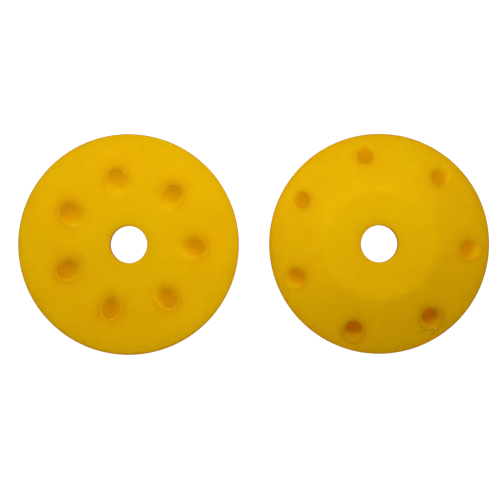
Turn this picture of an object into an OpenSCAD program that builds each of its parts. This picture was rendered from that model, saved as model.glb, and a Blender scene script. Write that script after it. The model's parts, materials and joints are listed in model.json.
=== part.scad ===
// A pair of spoke hubs for a circus staff, lying loose side by side.
//
// Each hub is one thick disc of soft, translucent yellow polymer. One side is flat. The other has
// a flat zone in the middle and a shallow bevel out to the rim. A bore for the staff's tube runs
// through the centre. Round it is a ring of slanted holes, one for each spoke: they lean outwards
// from the flat side to the bevel.
//
// The left hub lies flat side up and the right hub lies bevel side up. Z is up, the hubs lie on
// Z = 0, and the origin is midway between them.

/* [Disc] */
// Outer diameter of each disc
disc_d = 114; // [100:1:130]
// Thickness in the middle
disc_t = 22; // [20:0.5:26]
// Height of the straight band round the rim
rim_h = 12; // [10:0.5:15]
// Diameter of the flat zone in the middle of the bevelled side
zone_d = 58; // [48:1:64]

/* [Holes] */
// Diameter of the bore for the staff's tube
bore_d = 19.2; // [12.2:0.5:26.2]
// How many spoke holes there are
spoke_holes = 7; // [5:1:8]
// Diameter of each spoke hole
spoke_hole_d = 8.5; // [6.5:0.5:10.5]
// Diameter of the circle that the spoke holes' centres lie on, at the flat side
spoke_circle_d = 66.4; // [60:0.2:72]
// Lean of the spoke holes away from the disc's axis, in degrees
spoke_lean = 40; // [30:1:45]

/* [Edges] */
// Length cut off each side of the rim's two edges
rim_chamfer = 0.6; // [0.2:0.1:2]
// Length cut off each side of the bore's two edges
bore_chamfer = 0.4; // [0.2:0.1:1]

/* [Lying side by side] */
// Gap between the two rims
gap = 15.6; // [2:0.1:60]
// Turn of the left hub, in degrees from +X to its first spoke hole
left_turn = 48.5; // [0:0.5:360]
// Turn of the right hub, in degrees from +X to its first spoke hole
right_turn = 47.5; // [0:0.5:360]

/* [Hidden] */
disc_r = disc_d / 2;
zone_r = zone_d / 2;
bore_r = bore_d / 2;
centre_x = disc_r + gap / 2;
bevel_slope = atan((disc_t - rim_h) / (disc_r - zone_r));

// The cutter of a spoke hole starts this far outside the flat side, measured along the hole
cutter_start = 2 * spoke_hole_d;
cutter_len = 2 * cutter_start + disc_t / cos(spoke_lean);

smooth_fn = 192;

// Half of the disc's section, with radius along X and height above the flat side along Y
module section() {
    bevel_foot = [disc_r, rim_h];
    up_the_bevel = [-cos(bevel_slope), sin(bevel_slope)];
    polygon([
        [bore_r, bore_chamfer],
        [bore_r + bore_chamfer, 0],
        [disc_r - rim_chamfer, 0],
        [disc_r, rim_chamfer],
        bevel_foot - [0, rim_chamfer],
        bevel_foot + rim_chamfer * up_the_bevel,
        [zone_r, disc_t],
        [bore_r + bore_chamfer, disc_t],
        [bore_r, disc_t - bore_chamfer]
    ]);
}

// The cutter for one spoke hole. Its axis passes through the spoke circle on the flat side.
module spoke_cutter() {
    translate([spoke_circle_d / 2, 0, 0])
        rotate([0, spoke_lean, 0])
            translate([0, 0, -cutter_start])
                cylinder(d = spoke_hole_d, h = cutter_len, $fn = smooth_fn);
}

// One hub, flat side down, with its first spoke hole towards +X
module hub() {
    difference() {
        rotate_extrude($fn = smooth_fn)
            section();
        for (i = [0 : spoke_holes - 1])
            rotate([0, 0, i * 360 / spoke_holes])
                spoke_cutter();
    }
}

// The hub that lies flat side up
module left_hub() {
    color([0.86, 0.68, 0.0])
        translate([-centre_x, 0, disc_t])
            rotate([0, 0, left_turn])
                rotate([180, 0, 0])
                    hub();
}

// The hub that lies bevel side up
module right_hub() {
    color([0.86, 0.67, 0.0])
        translate([centre_x, 0, 0])
            rotate([0, 0, right_turn])
                hub();
}

left_hub();
right_hub();
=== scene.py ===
"""A pair of soft, translucent yellow spoke hubs lying on a white table, seen from straight above.

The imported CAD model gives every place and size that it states. Each hub is one quad mesh, built
sector by sector round its slanted holes, with the rounded and slightly torn edges of a moulding
that was drilled by hand. Everything is in metres.
"""

import json
import math
from typing import Callable, NamedTuple

import bmesh
import bpy
from mathutils import Matrix, Vector, noise


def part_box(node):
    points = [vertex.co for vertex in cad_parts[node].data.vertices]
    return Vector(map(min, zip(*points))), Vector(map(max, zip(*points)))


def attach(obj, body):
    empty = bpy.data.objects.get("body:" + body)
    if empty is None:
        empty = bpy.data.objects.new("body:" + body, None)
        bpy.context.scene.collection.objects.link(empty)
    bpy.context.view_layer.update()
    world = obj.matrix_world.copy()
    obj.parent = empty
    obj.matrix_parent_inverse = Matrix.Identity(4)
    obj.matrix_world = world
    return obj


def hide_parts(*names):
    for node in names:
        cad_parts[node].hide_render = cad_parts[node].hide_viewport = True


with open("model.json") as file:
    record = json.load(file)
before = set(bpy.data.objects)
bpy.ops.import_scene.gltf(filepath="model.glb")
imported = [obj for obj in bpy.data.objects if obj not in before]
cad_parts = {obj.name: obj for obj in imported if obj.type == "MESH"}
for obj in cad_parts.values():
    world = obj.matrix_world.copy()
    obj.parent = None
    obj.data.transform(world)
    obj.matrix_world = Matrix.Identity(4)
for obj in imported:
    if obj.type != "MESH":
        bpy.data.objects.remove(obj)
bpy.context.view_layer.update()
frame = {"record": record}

MM = 0.001
MOUNTS = {mount["name"]: mount for mount in frame["record"]["mounts"]}

# ---------------------------------------------------------------------------------------------
# Sizes of a hub, with its flat side down
# ---------------------------------------------------------------------------------------------

HUB_LOW, HUB_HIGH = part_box("right_hub")
SPOKE = MOUNTS["right_hub_spoke_hole_1"]
BORE = MOUNTS["right_hub_bore"]
SPOKE_HOLES = sum(name.startswith("right_hub_spoke_hole") for name in MOUNTS)

DISC_R = (HUB_HIGH.x - HUB_LOW.x) / 2
DISC_T = HUB_HIGH.z - HUB_LOW.z
BORE_R = BORE["dims"]["r_mm"] * MM
HOLE_R = SPOKE["dims"]["r_mm"] * MM
LEAN = math.acos(SPOKE["axis"][2])
# where a spoke hole's axis meets the flat side, out from the disc's own axis
SPOKE_CIRCLE_R = (
    (Vector(SPOKE["pos_m"]) - Vector(BORE["pos_m"])).xy.length
    - SPOKE["pos_m"][2] * math.tan(LEAN)
)
# height of the rim's straight band, and radius of the bevelled side's flat zone, as in the CAD model
RIM_H = 12.0 * MM
ZONE_R = 29.0 * MM
BEVEL_SLOPE = math.atan((DISC_T - RIM_H) / (DISC_R - ZONE_R))

RIM_FILLET = 0.8 * MM
BORE_FILLET = 0.4 * MM
FLAT_MOUTH_FILLET = 2.2 * MM
BEVEL_MOUTH_FILLET = 0.6 * MM
ZONE_BLEND = 2.0 * MM

# where a hole's wall runs out of the disc at a shallow angle, the spoke has worn it open this far,
# give or take FLARE_WANDER of it
FLAT_FLARE = 1.6 * MM
BEVEL_FLARE = 2.2 * MM
FLARE_WANDER = 0.3
# how far back full wear eats into an edge, in notches, which take in more of the edge the larger
# NOTCH_SPREAD is
NOTCH = 0.9 * MM
NOTCH_SPREAD = 0.15
# height of the lip that the drill raised round a mouth; the flat side has none, so it lies flush.
# LIP_EVEN of it is there all round, and full wear adds lumps of LIP_LUMPS times the height.
FLAT_LIP = 0.0
BEVEL_LIP = 0.12 * MM
LIP_EVEN = 0.4
LIP_LUMPS = 3
# wear above TORN_WEAR tears an edge, and most on the side that faces TORN_SIDE from straight out
TORN_WEAR = 0.6
TORN_SIDE = math.radians(-50)
# height of the crumbs that the drill tore up beside a badly worn mouth, and their size across
CRUMB = 0.9 * MM
CRUMB_SIZE = 0.7 * MM
# how far the wall of a hole wanders in streaks that follow the drill, how far up the hole they take
# to wind on by one radian, how far up they change, and how fine they are round the hole
STREAK = 0.07 * MM
STREAK_WINDING = 9 * MM
STREAK_LENGTH = 11 * MM
STREAK_FINENESS = 4
# the mould wasn't quite true, so the sides swell and dip this far, in slow swells and quick ones
WAVE = 0.05 * MM
SLOW_SWELL = 17 * MM
QUICK_SWELL = 6 * MM
QUICK_SHARE = 0.25

# ---------------------------------------------------------------------------------------------
# Where the surface changes its colour, with strengths from 0 to 1
# ---------------------------------------------------------------------------------------------

# painted shade: an amber tint beside an edge, where the body is thin: its strength there, and over a
# hole that dives in under the face, and how far in from the edge it has faded to a third
FLAT_LIP_AMBER_SHADE = 0.1
BEVEL_LIP_AMBER_SHADE = 0.2
OVERHANG_AMBER_SHADE = 0.7
BORE_AMBER_SHADE = 0.5
RIM_AMBER_SHADE = 0.6
HALO = 2.2 * MM
# depth in a hole at which its wall has its most painted amber shade and its strongest painted glow,
# which stands in for the light that has come through the body, and how fast each grows on the way
# there, as a power of the depth
DEEP = 12.0 * MM
WALL_AMBER_SHADE = 0.85
WALL_AMBER_SHADE_POWER = 1.5
GLOW_POWER = 0.75
# the shares of the red and the green painted glow that a hole's full darkening takes away
DARKENING_ON_RED = 0.4
DARKENING_ON_GREEN = 0.8
# a mouth's edge holds this share of its hole's darkening, and a face that hangs over a hole has some
# more, which is painted shade
EDGE_DARKENING = 0.55
OVERHANG_SHADE = 0.25
# how far the crumbs and the darkening of a mouth reach out over the face
TORN_REACH = 3.0 * MM
DARKENING_REACH = 1.6 * MM

# ---------------------------------------------------------------------------------------------
# How finely a hub is divided, in sectors with one spoke hole each
# ---------------------------------------------------------------------------------------------

SECTOR = 2 * math.pi / SPOKE_HOLES
# steps along the section: the flat side from its collar to the bore and to the rim, the bore, the
# flat zone, the blend at its edge, from a collar to the nearest bend, and the rim's band
FLAT_TO_BORE_STEPS = 10
FLAT_TO_RIM_STEPS = 9
BORE_STEPS = 16
ZONE_STEPS = 14
BLEND_STEPS = 8
BEVEL_STEPS = 3
RIM_STEPS = 10
FILLET_STEPS = 5
# points across a sector and along each of its two straight sides, which a mouth's ring has too
ACROSS = 32
ALONG_SIDE = 16
RING = 2 * (ACROSS + ALONG_SIDE)
# the rings of quads round a mouth, each wider than the last, and how many of them the lip and the
# crumbs reach over
COLLAR_RINGS = 14
COLLAR_GROWTH = 1.15
LIP_RINGS = 1.6
CRUMB_RINGS = 9
TUNNEL_STEPS = 26
# the stretch of each side, out from the axis, that the collar round a mouth fills
FLAT_COLLAR = (22.0 * MM, 46.0 * MM)
BEVEL_COLLAR = (33.5 * MM, 54.6 * MM)


def bevel_height(radius):
    """Height of the bevelled side, with the edge of its flat zone blended over ZONE_BLEND each way."""
    past = radius - ZONE_R
    if past <= -ZONE_BLEND:
        drop = 0.0
    elif past < ZONE_BLEND:
        drop = (past + ZONE_BLEND) ** 2 / (4 * ZONE_BLEND)
    else:
        drop = past
    return DISC_T - drop * math.tan(BEVEL_SLOPE)


def flat_height(radius):
    """Height of the flat side, which is the same everywhere."""
    return 0.0


def straight(start, end, steps):
    """Points from start towards end, without start."""
    return [start.lerp(end, (i + 1) / steps) for i in range(steps)]


def closing(start, end, steps):
    """Points from start towards end, closer and closer together, without start."""
    return [start.lerp(end, 1 - (1 - (i + 1) / steps) ** 2) for i in range(steps)]


def opening(start, end, steps):
    """Points from start towards end, further and further apart, without start."""
    return [start.lerp(end, ((i + 1) / steps) ** 2) for i in range(steps)]


def arc(centre, radius, start, end, steps):
    """Points along an arc between two angles in degrees, without its first point."""
    angles = [math.radians(start + (end - start) * (i + 1) / steps) for i in range(steps)]
    return [centre + radius * Vector((math.cos(a), math.sin(a))) for a in angles]


def inner_profile():
    """The section from the flat side's collar in, through the bore, and out to the bevel's collar."""
    low = Vector((BORE_R + BORE_FILLET, BORE_FILLET))
    high = Vector((BORE_R + BORE_FILLET, DISC_T - BORE_FILLET))
    points = [Vector((FLAT_COLLAR[0], 0))]
    points += closing(points[-1], Vector((low.x, 0)), FLAT_TO_BORE_STEPS)
    points += arc(low, BORE_FILLET, -90, -180, FILLET_STEPS)
    points += straight(points[-1], Vector((BORE_R, high.y)), BORE_STEPS)
    points += arc(high, BORE_FILLET, 180, 90, FILLET_STEPS)
    points += opening(points[-1], Vector((ZONE_R - ZONE_BLEND, DISC_T)), ZONE_STEPS)
    for i in range(BLEND_STEPS):
        radius = ZONE_R + ZONE_BLEND * (2 * (i + 1) / BLEND_STEPS - 1)
        points.append(Vector((radius, bevel_height(radius))))
    collar = Vector((BEVEL_COLLAR[0], bevel_height(BEVEL_COLLAR[0])))
    points += straight(points[-1], collar, BEVEL_STEPS)
    return points


def outer_profile():
    """The section from the flat side's collar out, round the rim, and in to the bevel's collar."""
    low = Vector((DISC_R - RIM_FILLET, RIM_FILLET))
    high = Vector((low.x, bevel_height(low.x) - RIM_FILLET / math.cos(BEVEL_SLOPE)))
    points = [Vector((FLAT_COLLAR[1], 0))]
    points += closing(points[-1], Vector((low.x, 0)), FLAT_TO_RIM_STEPS)
    points += arc(low, RIM_FILLET, -90, 0, FILLET_STEPS)
    points += straight(points[-1], Vector((DISC_R, high.y)), RIM_STEPS)
    points += arc(high, RIM_FILLET, 0, 90 - math.degrees(BEVEL_SLOPE), FILLET_STEPS)
    collar = Vector((BEVEL_COLLAR[1], bevel_height(BEVEL_COLLAR[1])))
    points += straight(points[-1], collar, BEVEL_STEPS)
    return points


def on_side_wall(spot):
    """1 on the rim's band and in the bore, 0 on the two sides, and between them round the fillets."""
    rim = (spot.x - (DISC_R - RIM_FILLET)) / RIM_FILLET
    bore = (BORE_R + BORE_FILLET - spot.x) / BORE_FILLET
    return min(1.0, max(0.0, rim, bore))


def edge_amber_shade(radius):
    """The painted amber shade beside the rim and the bore."""
    from_rim = max(0.0, DISC_R - RIM_FILLET - radius)
    from_bore = max(0.0, radius - BORE_R - BORE_FILLET)
    return RIM_AMBER_SHADE * math.exp(-from_rim / HALO) + BORE_AMBER_SHADE * math.exp(-from_bore / HALO)


# what each point of the mesh tells the material about its surface
SURFACE = ("side_wall", "amber_shade", "darkening", "torn", "red_glow", "green_glow")
# points this close are one point
SAME = 0.0001 * MM


class QuadMesh:
    """Points and quads. Points that fall together are shared, which joins neighbouring patches."""

    def __init__(self):
        self.points = []
        self.values = {name: [] for name in SURFACE}
        self.quads = []
        self.known = {}

    def add(self, point, *values):
        key = tuple(round(c / SAME) for c in point)
        if key not in self.known:
            self.known[key] = len(self.points)
            self.points.append(point)
            for numbers, value in zip(self.values.values(), values):
                numbers.append(value)
        return self.known[key]

    def patch(self, rows, closed):
        """rows is a list of rows of (point, *SURFACE values). closed joins each row into a ring."""
        ids = [[self.add(*spot) for spot in row] for row in rows]
        for near, far in zip(ids, ids[1:]):
            last = len(near) if closed else len(near) - 1
            for i in range(last):
                j = (i + 1) % len(near)
                self.quads.append((near[i], near[j], far[j], far[i]))


def turned(point, angle):
    """The point turned about the disc's axis."""
    return Matrix.Rotation(angle, 3, "Z") @ point


def revolved(profile, sector_angle):
    """Rows of a profile swept across one sector."""
    rows = []
    for spot in profile:
        row = []
        for i in range(ACROSS + 1):
            angle = sector_angle + SECTOR * (i / ACROSS - 0.5)
            point = turned(Vector((spot.x, 0, spot.y)), angle)
            row.append((point, on_side_wall(spot), edge_amber_shade(spot.x), 0, 0, 0, 0))
        rows.append(row)
    return rows


def collar_outline(inner, outer):
    """The closed edge of a collar in its sector, from its outer middle point towards +Y and round."""
    half = SECTOR / 2
    spots = []
    for i in range(ACROSS // 2):
        spots.append((outer, 2 * half * i / ACROSS))
    for i in range(ALONG_SIDE):
        spots.append((outer + (inner - outer) * i / ALONG_SIDE, half))
    for i in range(ACROSS):
        spots.append((inner, half - 2 * half * i / ACROSS))
    for i in range(ALONG_SIDE):
        spots.append((inner + (outer - inner) * i / ALONG_SIDE, -half))
    for i in range(ACROSS // 2):
        spots.append((outer, -half + 2 * half * i / ACROSS))
    return [Vector((radius * math.cos(angle), radius * math.sin(angle))) for radius, angle in spots]


def mouth_angles(outline, centre_x):
    """Angles round a spoke hole for a mouth's points: halfway between even steps and facing the outline."""
    angles = []
    for i, spot in enumerate(outline):
        facing = math.atan2(spot.y, spot.x - centre_x) % (2 * math.pi)
        even = 2 * math.pi * i / RING
        if facing - even > math.pi:
            facing -= 2 * math.pi
        if even - facing > math.pi:
            facing += 2 * math.pi
        angles.append((facing + even) / 2)
    return angles


# the first spoke hole's own directions: up its axis, and across it towards the rim and to the side
AXIS = Vector((math.sin(LEAN), 0, math.cos(LEAN)))
OUTWARD = Vector((math.cos(LEAN), 0, -math.sin(LEAN)))
SIDEWAYS = Vector((0, 1, 0))


def tunnel_point(angle, along, radius):
    """A point of the first spoke hole's wall. along is counted from the flat side, up the hole's axis."""
    foot = Vector((SPOKE_CIRCLE_R, 0, 0))
    return foot + along * AXIS + radius * (math.cos(angle) * OUTWARD + math.sin(angle) * SIDEWAYS)


# enough halvings of the way to find a point to a thousandth of a micrometre
HALVINGS = 40


def along_to_surface(angle, radius, height):
    """How far up the hole its wall, at that angle, meets the side with that height function."""
    near, far = -2 * HOLE_R, 2 * DISC_T
    for _ in range(HALVINGS):
        middle = (near + far) / 2
        point = tunnel_point(angle, middle, radius)
        if point.z < height(point.xy.length):
            near = middle
        else:
            far = middle
    return near


class Side(NamedTuple):
    """What the mouths on one side of the disc share."""

    height: Callable
    # 1 where going up a hole's axis goes into the disc, and -1 where it goes out of it
    into_body: int
    collar: tuple
    fillet: float
    flare: float
    lip: float
    # strength of the painted amber shade beside a mouth's edge
    amber_shade: float


FLAT_SIDE = Side(
    height=flat_height, into_body=1, collar=FLAT_COLLAR, fillet=FLAT_MOUTH_FILLET,
    flare=FLAT_FLARE, lip=FLAT_LIP, amber_shade=FLAT_LIP_AMBER_SHADE,
)
BEVEL_SIDE = Side(
    height=bevel_height, into_body=-1, collar=BEVEL_COLLAR, fillet=BEVEL_MOUTH_FILLET,
    flare=BEVEL_FLARE, lip=BEVEL_LIP, amber_shade=BEVEL_LIP_AMBER_SHADE,
)


def layered_noise(place, finer, share):
    """Noise with a finer layer on top that has a share of its strength."""
    return noise.noise(place) + share * noise.noise(place * finer)


class Mouth:
    """One end of one spoke hole, with the rings that the face and the tunnel start from.

    wear and darkening go from 0 to 1. An angle is counted round the hole's axis, from straight outwards.
    """

    def __init__(self, side, wear, darkening, seed):
        self.side = side
        self.wear = wear
        self.darkening = darkening
        self.seed = seed
        self.outline = collar_outline(*side.collar)
        foot = tunnel_point(0, along_to_surface(0, 0, side.height), 0)
        self.angles = mouth_angles(self.outline, foot.x)

    def rough(self, angle, grain):
        """Noise round the edge, about -1 to 1, that is finer the larger its grain."""
        around = Vector((math.cos(angle), math.sin(angle), self.seed)) * grain
        return layered_noise(around, finer=2.3, share=0.5)

    def overhang(self, angle):
        """1 where the face hangs over the hole, 0 opposite, where the hole runs out at a shallow angle."""
        return (1 + self.side.into_body * math.cos(angle)) / 2

    def lip_amber_shade(self, angle):
        """The painted amber shade of the edge."""
        return self.side.amber_shade + (OVERHANG_AMBER_SHADE - self.side.amber_shade) * self.overhang(angle)

    def lip_darkening(self, angle):
        """The darkening on the edge: a share of its hole's, and painted shade where the face hangs over the
        hole.
        """
        return EDGE_DARKENING * self.darkening + OVERHANG_SHADE * self.overhang(angle)

    def torn(self, angle):
        """How badly the edge is torn, from 0 to 1."""
        past = max(0.0, self.wear - TORN_WEAR) / (1 - TORN_WEAR)
        return past * max(0.0, math.cos(angle - TORN_SIDE))

    def crumbs(self, point, angle):
        """Height of the crumbs at a point beside the mouth."""
        lumps = max(0.0, layered_noise(point / CRUMB_SIZE, finer=2.1, share=0.4))
        return CRUMB * self.torn(angle) * lumps

    def opened(self, angle):
        """How far back the edge is worn, where it runs out and in notches all round."""
        wander = 1 + FLARE_WANDER * self.rough(angle, grain=1.3)
        run_out = (1 - self.overhang(angle)) ** 2 * wander
        notches = self.wear * max(0.0, self.rough(angle, grain=3.1) + NOTCH_SPREAD)
        return self.side.flare * run_out + NOTCH * notches

    def lip(self, angle):
        """How far the edge is raised, evenly and in lumps that come with wear."""
        # the lumps and the notches come from different stretches of the noise
        lumps = LIP_LUMPS * self.wear * max(0.0, self.rough(angle + 7, grain=4.3))
        return self.side.lip * (LIP_EVEN + lumps)

    def rings(self):
        """Rings of points from the face over the edge to the tunnel, and how far up the hole they end."""
        face, edge, wall, ends = [], [], [], []
        for angle in self.angles:
            fillet = self.side.fillet + self.opened(angle)
            brink = along_to_surface(angle, HOLE_R, self.side.height)
            ends.append(brink + fillet * self.side.into_body)
            corner = tunnel_point(angle, brink, HOLE_R)
            out = Vector((math.cos(angle) * math.cos(LEAN), math.sin(angle))).normalized()
            start = corner.xy + fillet * out
            face.append(Vector((*start, self.side.height(start.length))))
            edge.append(corner)
            wall.append(tunnel_point(angle, ends[-1], streaked(angle, ends[-1], self.seed)))
        steps = []
        for i in range(FILLET_STEPS + 2):
            t = i / (FILLET_STEPS + 1)
            steps.append([
                (1 - t) ** 2 * a + 2 * t * (1 - t) * b + t ** 2 * c
                for a, b, c in zip(face, edge, wall)
            ])
        return steps, ends

    def raised(self, point, angle, distance):
        """The point lifted by the lip and the crumbs, which fade as its distance in rings grows."""
        lift = self.lip(angle) * math.exp(-(distance / LIP_RINGS) ** 2)
        lift += self.crumbs(point, angle) * math.exp(-(distance / CRUMB_RINGS) ** 2)
        return point - Vector((0, 0, self.side.into_body * lift))


def streaked(angle, along, seed):
    """The tunnel's radius, which wanders in streaks that wind slowly round the hole."""
    winding = angle + along / STREAK_WINDING
    across = STREAK_FINENESS * Vector((math.cos(winding), math.sin(winding)))
    return HOLE_R + STREAK * noise.noise(Vector((*across, 5 * seed + along / STREAK_LENGTH)))


def collar_rows(mouth, first_ring):
    """Rows from a mouth's face ring out to the collar's outline, wider and wider apart."""
    total = COLLAR_GROWTH ** COLLAR_RINGS - 1
    rows = []
    for i in range(COLLAR_RINGS + 1):
        share = (COLLAR_GROWTH ** i - 1) / total
        row = []
        for start, end in zip(first_ring, mouth.outline):
            flat = start.xy.lerp(end, share)
            row.append(Vector((*flat, mouth.side.height(flat.length))))
        rows.append(row)
    return rows


def wall_values(point, angle, darkening):
    """The SURFACE values on a hole's wall, at that angle round the hole.

    The inner wall is seen from the flat side and the outer wall from the bevelled side, and the depth
    that counts is measured straight in from there.
    """
    from_bevel = bevel_height(point.xy.length) - point.z
    outer = (1 + math.cos(angle)) / 2
    depth = min(1.0, max(0.0, (point.z * (1 - outer) + from_bevel * outer) / DEEP))
    # the painted amber shade and the painted glow grow with depth, and the darkening dims the glow
    amber_shade = WALL_AMBER_SHADE * depth ** WALL_AMBER_SHADE_POWER
    glow = depth ** GLOW_POWER
    return 0, amber_shade, darkening, 0, glow * (1 - DARKENING_ON_RED * darkening), glow * (1 - DARKENING_ON_GREEN * darkening)


def add_mouth(quads, mouth, steps, turn):
    """The collar and the rounded edge of a mouth, in its sector of the disc."""
    rows = []
    for i, ring in enumerate(collar_rows(mouth, steps[0])):
        row = []
        for point, edge, angle in zip(ring, steps[0], mouth.angles):
            away = (point - edge).length
            # the painted amber shade and the darkening, with its painted shade over the hole, fade out from
            # the edge
            amber_shade = mouth.lip_amber_shade(angle) * math.exp(-away / HALO)
            amber_shade = max(amber_shade, edge_amber_shade(point.xy.length))
            darkening = mouth.lip_darkening(angle) * math.exp(-away / DARKENING_REACH)
            torn = mouth.torn(angle) * math.exp(-(away / TORN_REACH) ** 2)
            row.append((turned(mouth.raised(point, angle, i), turn), 0, amber_shade, darkening, torn, 0, 0))
        rows.append(row)
    quads.patch(rows, closed=True)
    rows = []
    for i, ring in enumerate(steps):
        inwards = i / (len(steps) - 1)
        # the last ring stays in place, because the tunnel starts from it
        distance = i / (1 - inwards) if inwards < 1 else math.inf
        row = []
        for point, angle in zip(ring, mouth.angles):
            # over the rounded edge, the painted amber shade and the darkening turn from the edge's to the
            # wall's
            side, amber_shade, darkening, _, red, green = wall_values(point, angle, mouth.darkening)
            amber_shade = mouth.lip_amber_shade(angle) * (1 - inwards) + amber_shade * inwards
            darkening = mouth.lip_darkening(angle) * (1 - inwards) + darkening * inwards
            torn = mouth.torn(angle) * (1 - inwards)
            # an edge that hangs over the hole is lit from its own side, so it shows no glow
            shown = inwards ** 2 * (1 - mouth.overhang(angle))
            place = turned(mouth.raised(point, angle, distance), turn)
            row.append((place, side, amber_shade, darkening, torn, red * shown, green * shown))
        rows.append(row)
    quads.patch(rows, closed=True)


def add_tunnel(quads, low, low_ends, high, high_ends, turn):
    """The wall of a spoke hole from the flat side's mouth to the bevel's."""
    rows = []
    for i in range(TUNNEL_STEPS + 1):
        t = i / TUNNEL_STEPS
        row = []
        for j in range(RING):
            angle = low.angles[j] + (high.angles[j] - low.angles[j]) * t
            along = low_ends[j] + (high_ends[j] - low_ends[j]) * t
            seed = low.seed + (high.seed - low.seed) * t
            point = tunnel_point(angle, along, streaked(angle, along, seed))
            row.append((turned(point, turn), *wall_values(point, angle, low.darkening)))
        rows.append(row)
    quads.patch(rows, closed=True)


def waved(point, seed):
    """The point moved by the mould's slow unevenness."""
    slow = Vector((point.x, point.y, seed * MM)) / SLOW_SWELL
    quick = Vector((point.x, point.y, seed * MM + point.z)) / QUICK_SWELL
    lift = WAVE * (noise.noise(slow) + QUICK_SHARE * noise.noise(quick))
    # the flat side stays on the table where it faces down, so the move fades towards it
    return point + Vector((0, 0, lift * point.z / DISC_T))


def hub_mesh(name, holes, seed):
    """A hub's mesh, flat side down. holes is as LEFT_HOLES."""
    quads = QuadMesh()
    inner, outer = inner_profile(), outer_profile()
    for k in range(SPOKE_HOLES):
        turn = k * SECTOR
        quads.patch(revolved(inner, turn), closed=False)
        quads.patch(revolved(outer, turn), closed=False)
        low_wear, high_wear, darkening = holes[k]
        low = Mouth(FLAT_SIDE, low_wear, darkening, seed + 2.0 * k)
        high = Mouth(BEVEL_SIDE, high_wear, darkening, seed + 2.0 * k + 1)
        low_steps, low_ends = low.rings()
        high_steps, high_ends = high.rings()
        add_mouth(quads, low, low_steps, turn)
        add_mouth(quads, high, high_steps, turn)
        add_tunnel(quads, low, low_ends, high, high_ends, turn)
    mesh = bpy.data.meshes.new(name)
    mesh.from_pydata([waved(point, seed) for point in quads.points], [], quads.quads)
    for attribute, values in quads.values.items():
        mesh.attributes.new(attribute, "FLOAT", "POINT").data.foreach_set("value", values)
    mesh.validate()
    return mesh


def outward_faces(mesh):
    """Turns every face outwards and shades them smooth."""
    work = bmesh.new()
    work.from_mesh(mesh)
    bmesh.ops.recalc_face_normals(work, faces=work.faces)
    work.to_mesh(mesh)
    work.free()
    mesh.polygons.foreach_set("use_smooth", [True] * len(mesh.polygons))


def hub(node, flip, holes, seed):
    """The piece that stands for one CAD hub, in the CAD hub's place."""
    spoke = Vector(MOUNTS[f"{node}_spoke_hole_1"]["axis"])
    centre = Vector(MOUNTS[f"{node}_bore"]["pos_m"])
    mesh = hub_mesh(f"{node}_moulding", holes, seed)
    place = Matrix.Translation((centre.x, centre.y, DISC_T if flip else 0))
    place @= Matrix.Rotation(math.atan2(spoke.y, spoke.x), 4, "Z")
    if flip:
        place @= Matrix.Rotation(math.pi, 4, "X")
    mesh.transform(place)
    outward_faces(mesh)
    piece = bpy.data.objects.new(f"{node}_moulding", mesh)
    bpy.context.scene.collection.objects.link(piece)
    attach(piece, node)
    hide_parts(node)
    return piece


# (wear of its flat mouth, wear of its bevel mouth, darkening) of each spoke hole, all from 0 to 1.
# The darkening makes a hole's walls and edge darker and dims the walls' painted glow, most in the
# right hub's two holes towards -Y. The right hub's sixth hole tore when it was drilled.
LEFT_HOLES = [
    (0.2, 0.3, 0.0), (0.2, 0.3, 0.0), (0.3, 0.3, 0.03), (0.2, 0.3, 0.08),
    (0.2, 0.3, 0.18), (0.3, 0.3, 0.1), (0.2, 0.3, 0.0),
]
RIGHT_HOLES = [
    (0.2, 0.3, 0.0), (0.2, 0.2, 0.0), (0.2, 0.3, 0.0), (0.2, 0.3, 0.2),
    (0.2, 0.4, 0.7), (0.3, 1.0, 0.7), (0.2, 0.5, 0.15),
]
left = hub("left_hub", True, LEFT_HOLES, 11.0)
right = hub("right_hub", False, RIGHT_HOLES, 47.0)

# ---------------------------------------------------------------------------------------------
# Material
# ---------------------------------------------------------------------------------------------

FACE_COLOUR = (0.95, 0.625, 0.001)
# painted shade: amber beside edges and deep in holes
AMBER_SHADE_COLOUR = (0.88, 0.45, 0.001)
# the colour of the darkening, of the painted shade on faces over a hole, and of the painted shade in pits
DARKENING_COLOUR = (0.55, 0.25, 0.001)
# painted shade: the rim's band and the bore face sideways and are darker and more orange
SIDE_SHADE_COLOUR = (0.85, 0.36, 0.001)
# painted shade and painted glow: deep in a hole the wall is darker, and its glow stands in for the
# light that has come a long way through the body
WALL_SHADE_COLOUR = (0.62, 0.36, 0.001)
RED_GLOW, GREEN_GLOW = 0.285, 0.178

# sizes of the clouds inside the polymer, and of the blotches and the satin grain of its skin, and
# how bright it still is in the darkest of each; a darker place is a more orange one too, so its
# green falls by this power of its red
CLOUD, CLOUD_SHADE = 22 * MM, 0.97
BLOTCH, BLOTCH_SHADE = 5 * MM, 0.975
GRAIN, GRAIN_SHADE = 0.5 * MM, 0.985
ORANGE_POWER = 1.8
# size and depth of the dents in the skin, how much of the depth the grain adds, and how strong all
# of it looks
DENT = 1.6 * MM
DENT_DEPTH = 0.05 * MM
GRAIN_IN_DENTS = 0.4
DENT_STRENGTH = 0.25
ROUGHNESS = (0.42, 0.52)
# how far light wanders in the polymer
SCATTER = 10 * MM
# where the noise textures turn their full range into light and dark, into the painted highlights of
# crumbs and into the painted shade of pits
FULL_RANGE = (0.3, 0.7)
CRUMB_HIGHLIGHT_RANGE = (0.54, 0.62)
PIT_SHADE_RANGE = (0.42, 0.36)

SPECK_COLOUR = (0.25, 0.12, 0.005)
# pale colour of scratches, and of painted glints on the edges of mouths and on crumbs
SCRATCH_AND_GLINT_COLOUR = (0.99, 0.74, 0.02)
# how far below the top of the disc a mark still shows, so that it covers the bevel too
MARK_DEPTH = 14 * MM
# a mark is solid this far out from its middle, and fades from there to its edge
MARK_CORE = 0.3

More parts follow.
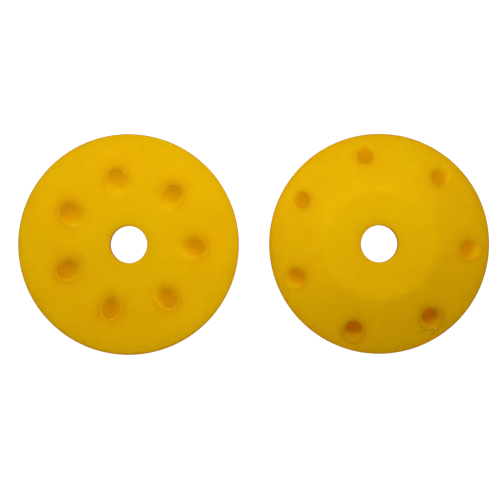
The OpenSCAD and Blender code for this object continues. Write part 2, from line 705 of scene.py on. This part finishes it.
# (hub, x, y from its centre in millimetres, turn in degrees, length, width, strength)
SPECKS = [
    ("left_hub", 7.3, 49.3, 20, 1.1, 0.9, 0.7),
    ("left_hub", 18.1, 51.4, 0, 0.8, 0.8, 0.6),
    ("left_hub", 27.5, 2.2, 0, 0.7, 0.7, 0.35),
    ("left_hub", -6.3, 36.1, 0, 1.0, 1.0, 0.6),
    ("left_hub", -29.3, 18.9, 0, 0.9, 0.9, 0.5),
    ("right_hub", 47.6, -6.4, 60, 1.6, 0.6, 0.5),
    ("right_hub", 24.4, -39.9, 0, 1.0, 0.9, 0.5),
]
# pale streaks beside the mouths: scratches, and painted glints on the mouths' edges
SCRATCHES_AND_GLINTS = [
    ("left_hub", -27.4, 10.6, 150, 4.4, 0.7, 0.5),
    ("left_hub", -29.2, 10.0, 154, 3.0, 0.6, 0.35),
    ("left_hub", 13.3, -27.3, 130, 3.0, 0.7, 0.5),
    ("left_hub", 20.0, 20.4, 0, 1.2, 1.0, 0.45),
    ("left_hub", 40.4, -4.6, 85, 5.0, 0.5, 0.3),
    ("right_hub", 43.2, -12.0, 40, 3.0, 0.5, 0.3),
]


class NodeTree:
    """Short ways to add and link the nodes of one material or world."""

    def __init__(self, owner):
        owner.use_nodes = True
        self.nodes = owner.node_tree.nodes
        self.links = owner.node_tree.links

    def add(self, kind, **inputs):
        """A new node. Each input is a value, or another node's output."""
        node = self.nodes.new(kind)
        for name, value in inputs.items():
            self.feed(node, name, value)
        return node

    def feed(self, node, name, value):
        """Sets or links one input, by its name or by its number after an underscore."""
        socket = node.inputs[int(name[1:])] if name[0] == "_" else node.inputs[name]
        if isinstance(value, bpy.types.NodeSocket):
            self.links.new(value, socket)
        else:
            socket.default_value = value

    def math(self, operation, *values):
        """The result of one Math node."""
        node = self.add("ShaderNodeMath", **{f"_{i}": value for i, value in enumerate(values)})
        node.operation = operation
        return node.outputs[0]

    def mix(self, share, first, second, blend="MIX"):
        """A colour between first and second, which are colours or colour outputs."""
        node = self.nodes.new("ShaderNodeMix")
        node.data_type = "RGBA"
        node.blend_type = blend
        self.feed(node, "_0", share)
        for index, value in ((6, first), (7, second)):
            self.feed(node, f"_{index}", value if isinstance(value, bpy.types.NodeSocket) else (*value, 1))
        return node.outputs[2]

    def noise(self, place, size, detail, roughness=0.5):
        """Noise from 0 to 1 whose lumps are about size across."""
        scale = 1 / size
        node = self.add("ShaderNodeTexNoise", Vector=place, Scale=scale, Detail=detail, Roughness=roughness)
        return node.outputs["Fac"]

    def ramp(self, value, low, high, to_low=0.0, to_high=1.0):
        """The value moved from the range low to high to the range to_low to to_high, and kept in it."""
        node = self.nodes.new("ShaderNodeMapRange")
        for index, number in enumerate((value, low, high, to_low, to_high)):
            self.feed(node, f"_{index}", number)
        return node.outputs[0]

    def attribute(self, name):
        """One of the mesh's SURFACE values."""
        node = self.nodes.new("ShaderNodeAttribute")
        node.attribute_name = name
        return node.outputs["Fac"]


def marked(tree, place, node, x, y, turn, length, width, strength):
    """How strongly a speck, a scratch or a painted glint on a hub's upper face covers a place."""
    centre = Vector(MOUNTS[f"{node}_bore"]["pos_m"])
    mapping = tree.add(
        "ShaderNodeMapping",
        Vector=place,
        Location=(centre.x + x * MM, centre.y + y * MM, DISC_T),
        Rotation=(0, 0, math.radians(turn)),
        Scale=(length / 2 * MM, width / 2 * MM, MARK_DEPTH),
    )
    mapping.vector_type = "TEXTURE"
    away = tree.add("ShaderNodeVectorMath", _0=mapping.outputs["Vector"])
    away.operation = "LENGTH"
    return tree.ramp(away.outputs["Value"], MARK_CORE, 1.0, strength, 0.0)


def yellow_polymer():
    """Soft, translucent yellow polymer: cloudy inside, with a fine satin grain on its skin."""
    material = bpy.data.materials.new("yellow_polymer")
    tree = NodeTree(material)
    shader = tree.nodes["Principled BSDF"]
    place = tree.add("ShaderNodeTexCoord").outputs["Object"]

    clouds = tree.noise(place, CLOUD, 2)
    blotches = tree.noise(place, BLOTCH, 3, 0.6)
    grain = tree.noise(place, GRAIN, 2)
    # painted shade in turn: amber beside edges and deep in holes, darker walls deep in holes, the darkening
    # of some holes with painted shade on faces over a hole, and the sideways walls
    colour = tree.mix(tree.attribute("amber_shade"), FACE_COLOUR, AMBER_SHADE_COLOUR)
    colour = tree.mix(tree.attribute("green_glow"), colour, WALL_SHADE_COLOUR)
    colour = tree.mix(tree.attribute("darkening"), colour, DARKENING_COLOUR)
    colour = tree.mix(tree.attribute("side_wall"), colour, SIDE_SHADE_COLOUR)
    shade = tree.ramp(clouds, *FULL_RANGE, CLOUD_SHADE, 1.0)
    shade = tree.math("MULTIPLY", shade, tree.ramp(blotches, *FULL_RANGE, BLOTCH_SHADE, 1.0))
    shade = tree.math("MULTIPLY", shade, tree.ramp(grain, *FULL_RANGE, GRAIN_SHADE, 1.0))
    orange = tree.math("POWER", shade, ORANGE_POWER)
    tint = tree.add("ShaderNodeCombineColor", Red=shade, Green=orange, Blue=shade)
    colour = tree.mix(1.0, colour, tint.outputs["Color"], "MULTIPLY")
    # dark specks, and pale scratches and painted glints
    for mark_colour, marks in ((SPECK_COLOUR, SPECKS), (SCRATCH_AND_GLINT_COLOUR, SCRATCHES_AND_GLINTS)):
        for mark in marks:
            colour = tree.mix(marked(tree, place, *mark), colour, mark_colour)
    # on a torn edge, pale flecks are painted highlights on crumbs and dark flecks painted shade in pits
    lumps = tree.noise(place, CRUMB_SIZE, 1)
    torn = tree.attribute("torn")
    crumbs = tree.math("MULTIPLY", tree.ramp(lumps, *CRUMB_HIGHLIGHT_RANGE), torn)
    pit_shade = tree.math("MULTIPLY", tree.ramp(lumps, *PIT_SHADE_RANGE), torn)
    colour = tree.mix(crumbs, colour, SCRATCH_AND_GLINT_COLOUR)
    colour = tree.mix(pit_shade, colour, DARKENING_COLOUR)
    tree.feed(shader, "Base Color", colour)

    tree.feed(shader, "Roughness", tree.ramp(blotches, *FULL_RANGE, *ROUGHNESS))
    height = tree.math("MULTIPLY_ADD", grain, GRAIN_IN_DENTS, tree.noise(place, DENT, 2))
    bump = tree.add("ShaderNodeBump", Strength=DENT_STRENGTH, Distance=DENT_DEPTH, Height=height)
    tree.feed(shader, "Normal", bump.outputs["Normal"])

    # painted glow in the holes, which stands in for light that has come through the body
    red = tree.math("MULTIPLY", tree.attribute("red_glow"), RED_GLOW)
    green = tree.math("MULTIPLY", tree.attribute("green_glow"), GREEN_GLOW)
    glow = tree.add("ShaderNodeCombineColor", Red=red, Green=green)
    tree.feed(shader, "Emission Color", glow.outputs["Color"])
    shader.inputs["Emission Strength"].default_value = 1.0

    shader.inputs["Specular IOR Level"].default_value = 0.3
    shader.inputs["Specular Tint"].default_value = (1, 0.7, 0.02, 1)
    shader.inputs["Subsurface Weight"].default_value = 1.0
    shader.inputs["Subsurface Radius"].default_value = (1.0, 1.0, 0.1)
    shader.inputs["Subsurface Scale"].default_value = SCATTER
    return material


POLYMER = yellow_polymer()
for piece in (left, right):
    piece.data.materials.append(POLYMER)

# ---------------------------------------------------------------------------------------------
# Table, light and camera
# ---------------------------------------------------------------------------------------------

# the camera: how wide a stretch it sees level with the tops of the hubs, where it is aimed, and how
# far it is turned
FRAME_WIDTH = 258 * MM
LENS_MM = 400
SENSOR_MM = 36
AIM = (-2.1 * MM, -3.0 * MM)
CAMERA_TURN = math.radians(-0.17)

# how bright a burnt-out surface is to the camera, where 1 is white
BURNT_OUT = 1.1
TABLE_SIZE = 60
TABLE_GREY = 0.6
# the gap under the hubs keeps their lowest faces apart from the table
TABLE_GAP = 0.1 * MM

# where the room is brightest, and its strength and colour on the far side and there
SKY_SIDE = Vector((-0.3, 1, 0)).normalized()
SKY_STRENGTH = (0.30, 0.46)
DIM_SKY, BRIGHT_SKY = (1, 0.80, 0.6), (1, 0.92, 0.8)


def overexposed_white():
    """The table: burnt-out white to the camera, and a plain grey for the light that falls on it."""
    material = bpy.data.materials.new("overexposed_white")
    tree = NodeTree(material)
    tree.nodes.remove(tree.nodes["Principled BSDF"])
    matt = tree.add("ShaderNodeBsdfDiffuse", Color=(TABLE_GREY, TABLE_GREY, TABLE_GREY, 1))
    burnt_out = tree.add("ShaderNodeEmission", Strength=BURNT_OUT)
    seen = tree.add("ShaderNodeLightPath").outputs["Is Camera Ray"]
    looks = {"_1": matt.outputs["BSDF"], "_2": burnt_out.outputs["Emission"]}
    either = tree.add("ShaderNodeMixShader", _0=seen, **looks)
    tree.feed(tree.nodes["Material Output"], "Surface", either.outputs["Shader"])
    return material


def studio_sky():
    """A room that is brighter and whiter towards SKY_SIDE. The camera sees it burnt out, like the table."""
    world = bpy.data.worlds.new("studio")
    tree = NodeTree(world)
    direction = tree.add("ShaderNodeTexCoord").outputs["Generated"]
    towards = tree.add("ShaderNodeVectorMath", _0=direction, _1=SKY_SIDE)
    towards.operation = "DOT_PRODUCT"
    share = tree.ramp(towards.outputs["Value"], -1, 1)
    seen = tree.add("ShaderNodeLightPath").outputs["Is Camera Ray"]
    strength = tree.ramp(share, 0, 1, *SKY_STRENGTH)
    tree.feed(tree.nodes["Background"], "Strength", tree.ramp(seen, 0, 1, strength, BURNT_OUT))
    colour = tree.mix(share, DIM_SKY, BRIGHT_SKY)
    tree.feed(tree.nodes["Background"], "Color", tree.mix(seen, colour, (1, 1, 1)))
    return world


def softbox(name, place, aim, width, depth, power):
    """A rectangular lamp that faces its aim."""
    data = bpy.data.lights.new(name, "AREA")
    data.shape = "RECTANGLE"
    data.size = width
    data.size_y = depth
    data.energy = power
    lamp = bpy.data.objects.new(name, data)
    lamp.location = place
    lamp.rotation_euler = (Vector(aim) - Vector(place)).to_track_quat("-Z", "Y").to_euler()
    bpy.context.scene.collection.objects.link(lamp)


bpy.ops.mesh.primitive_plane_add(size=TABLE_SIZE, location=(0, 0, -TABLE_GAP))
table = bpy.context.object
table.name = "table"
table.data.materials.append(overexposed_white())

bpy.context.scene.world = studio_sky()
softbox(
    "key", place=(-6 * MM, 84 * MM, 200 * MM), aim=(0, 0, DISC_T), width=400 * MM, depth=60 * MM,
    power=0.295,
)

camera = bpy.data.objects.new("camera", bpy.data.cameras.new("camera"))
camera.data.sensor_width = SENSOR_MM
camera.data.lens = LENS_MM
camera.data.clip_end = 20
camera.location = (*AIM, DISC_T + FRAME_WIDTH * LENS_MM / SENSOR_MM)
camera.rotation_euler.z = CAMERA_TURN
bpy.context.scene.collection.objects.link(camera)
bpy.context.scene.camera = camera
bpy.context.scene.view_settings.view_transform = "Standard"
# the pale, translucent walls of the holes pass light on many times
bpy.context.scene.cycles.diffuse_bounces = 16
bpy.context.scene.cycles.max_bounces = 24
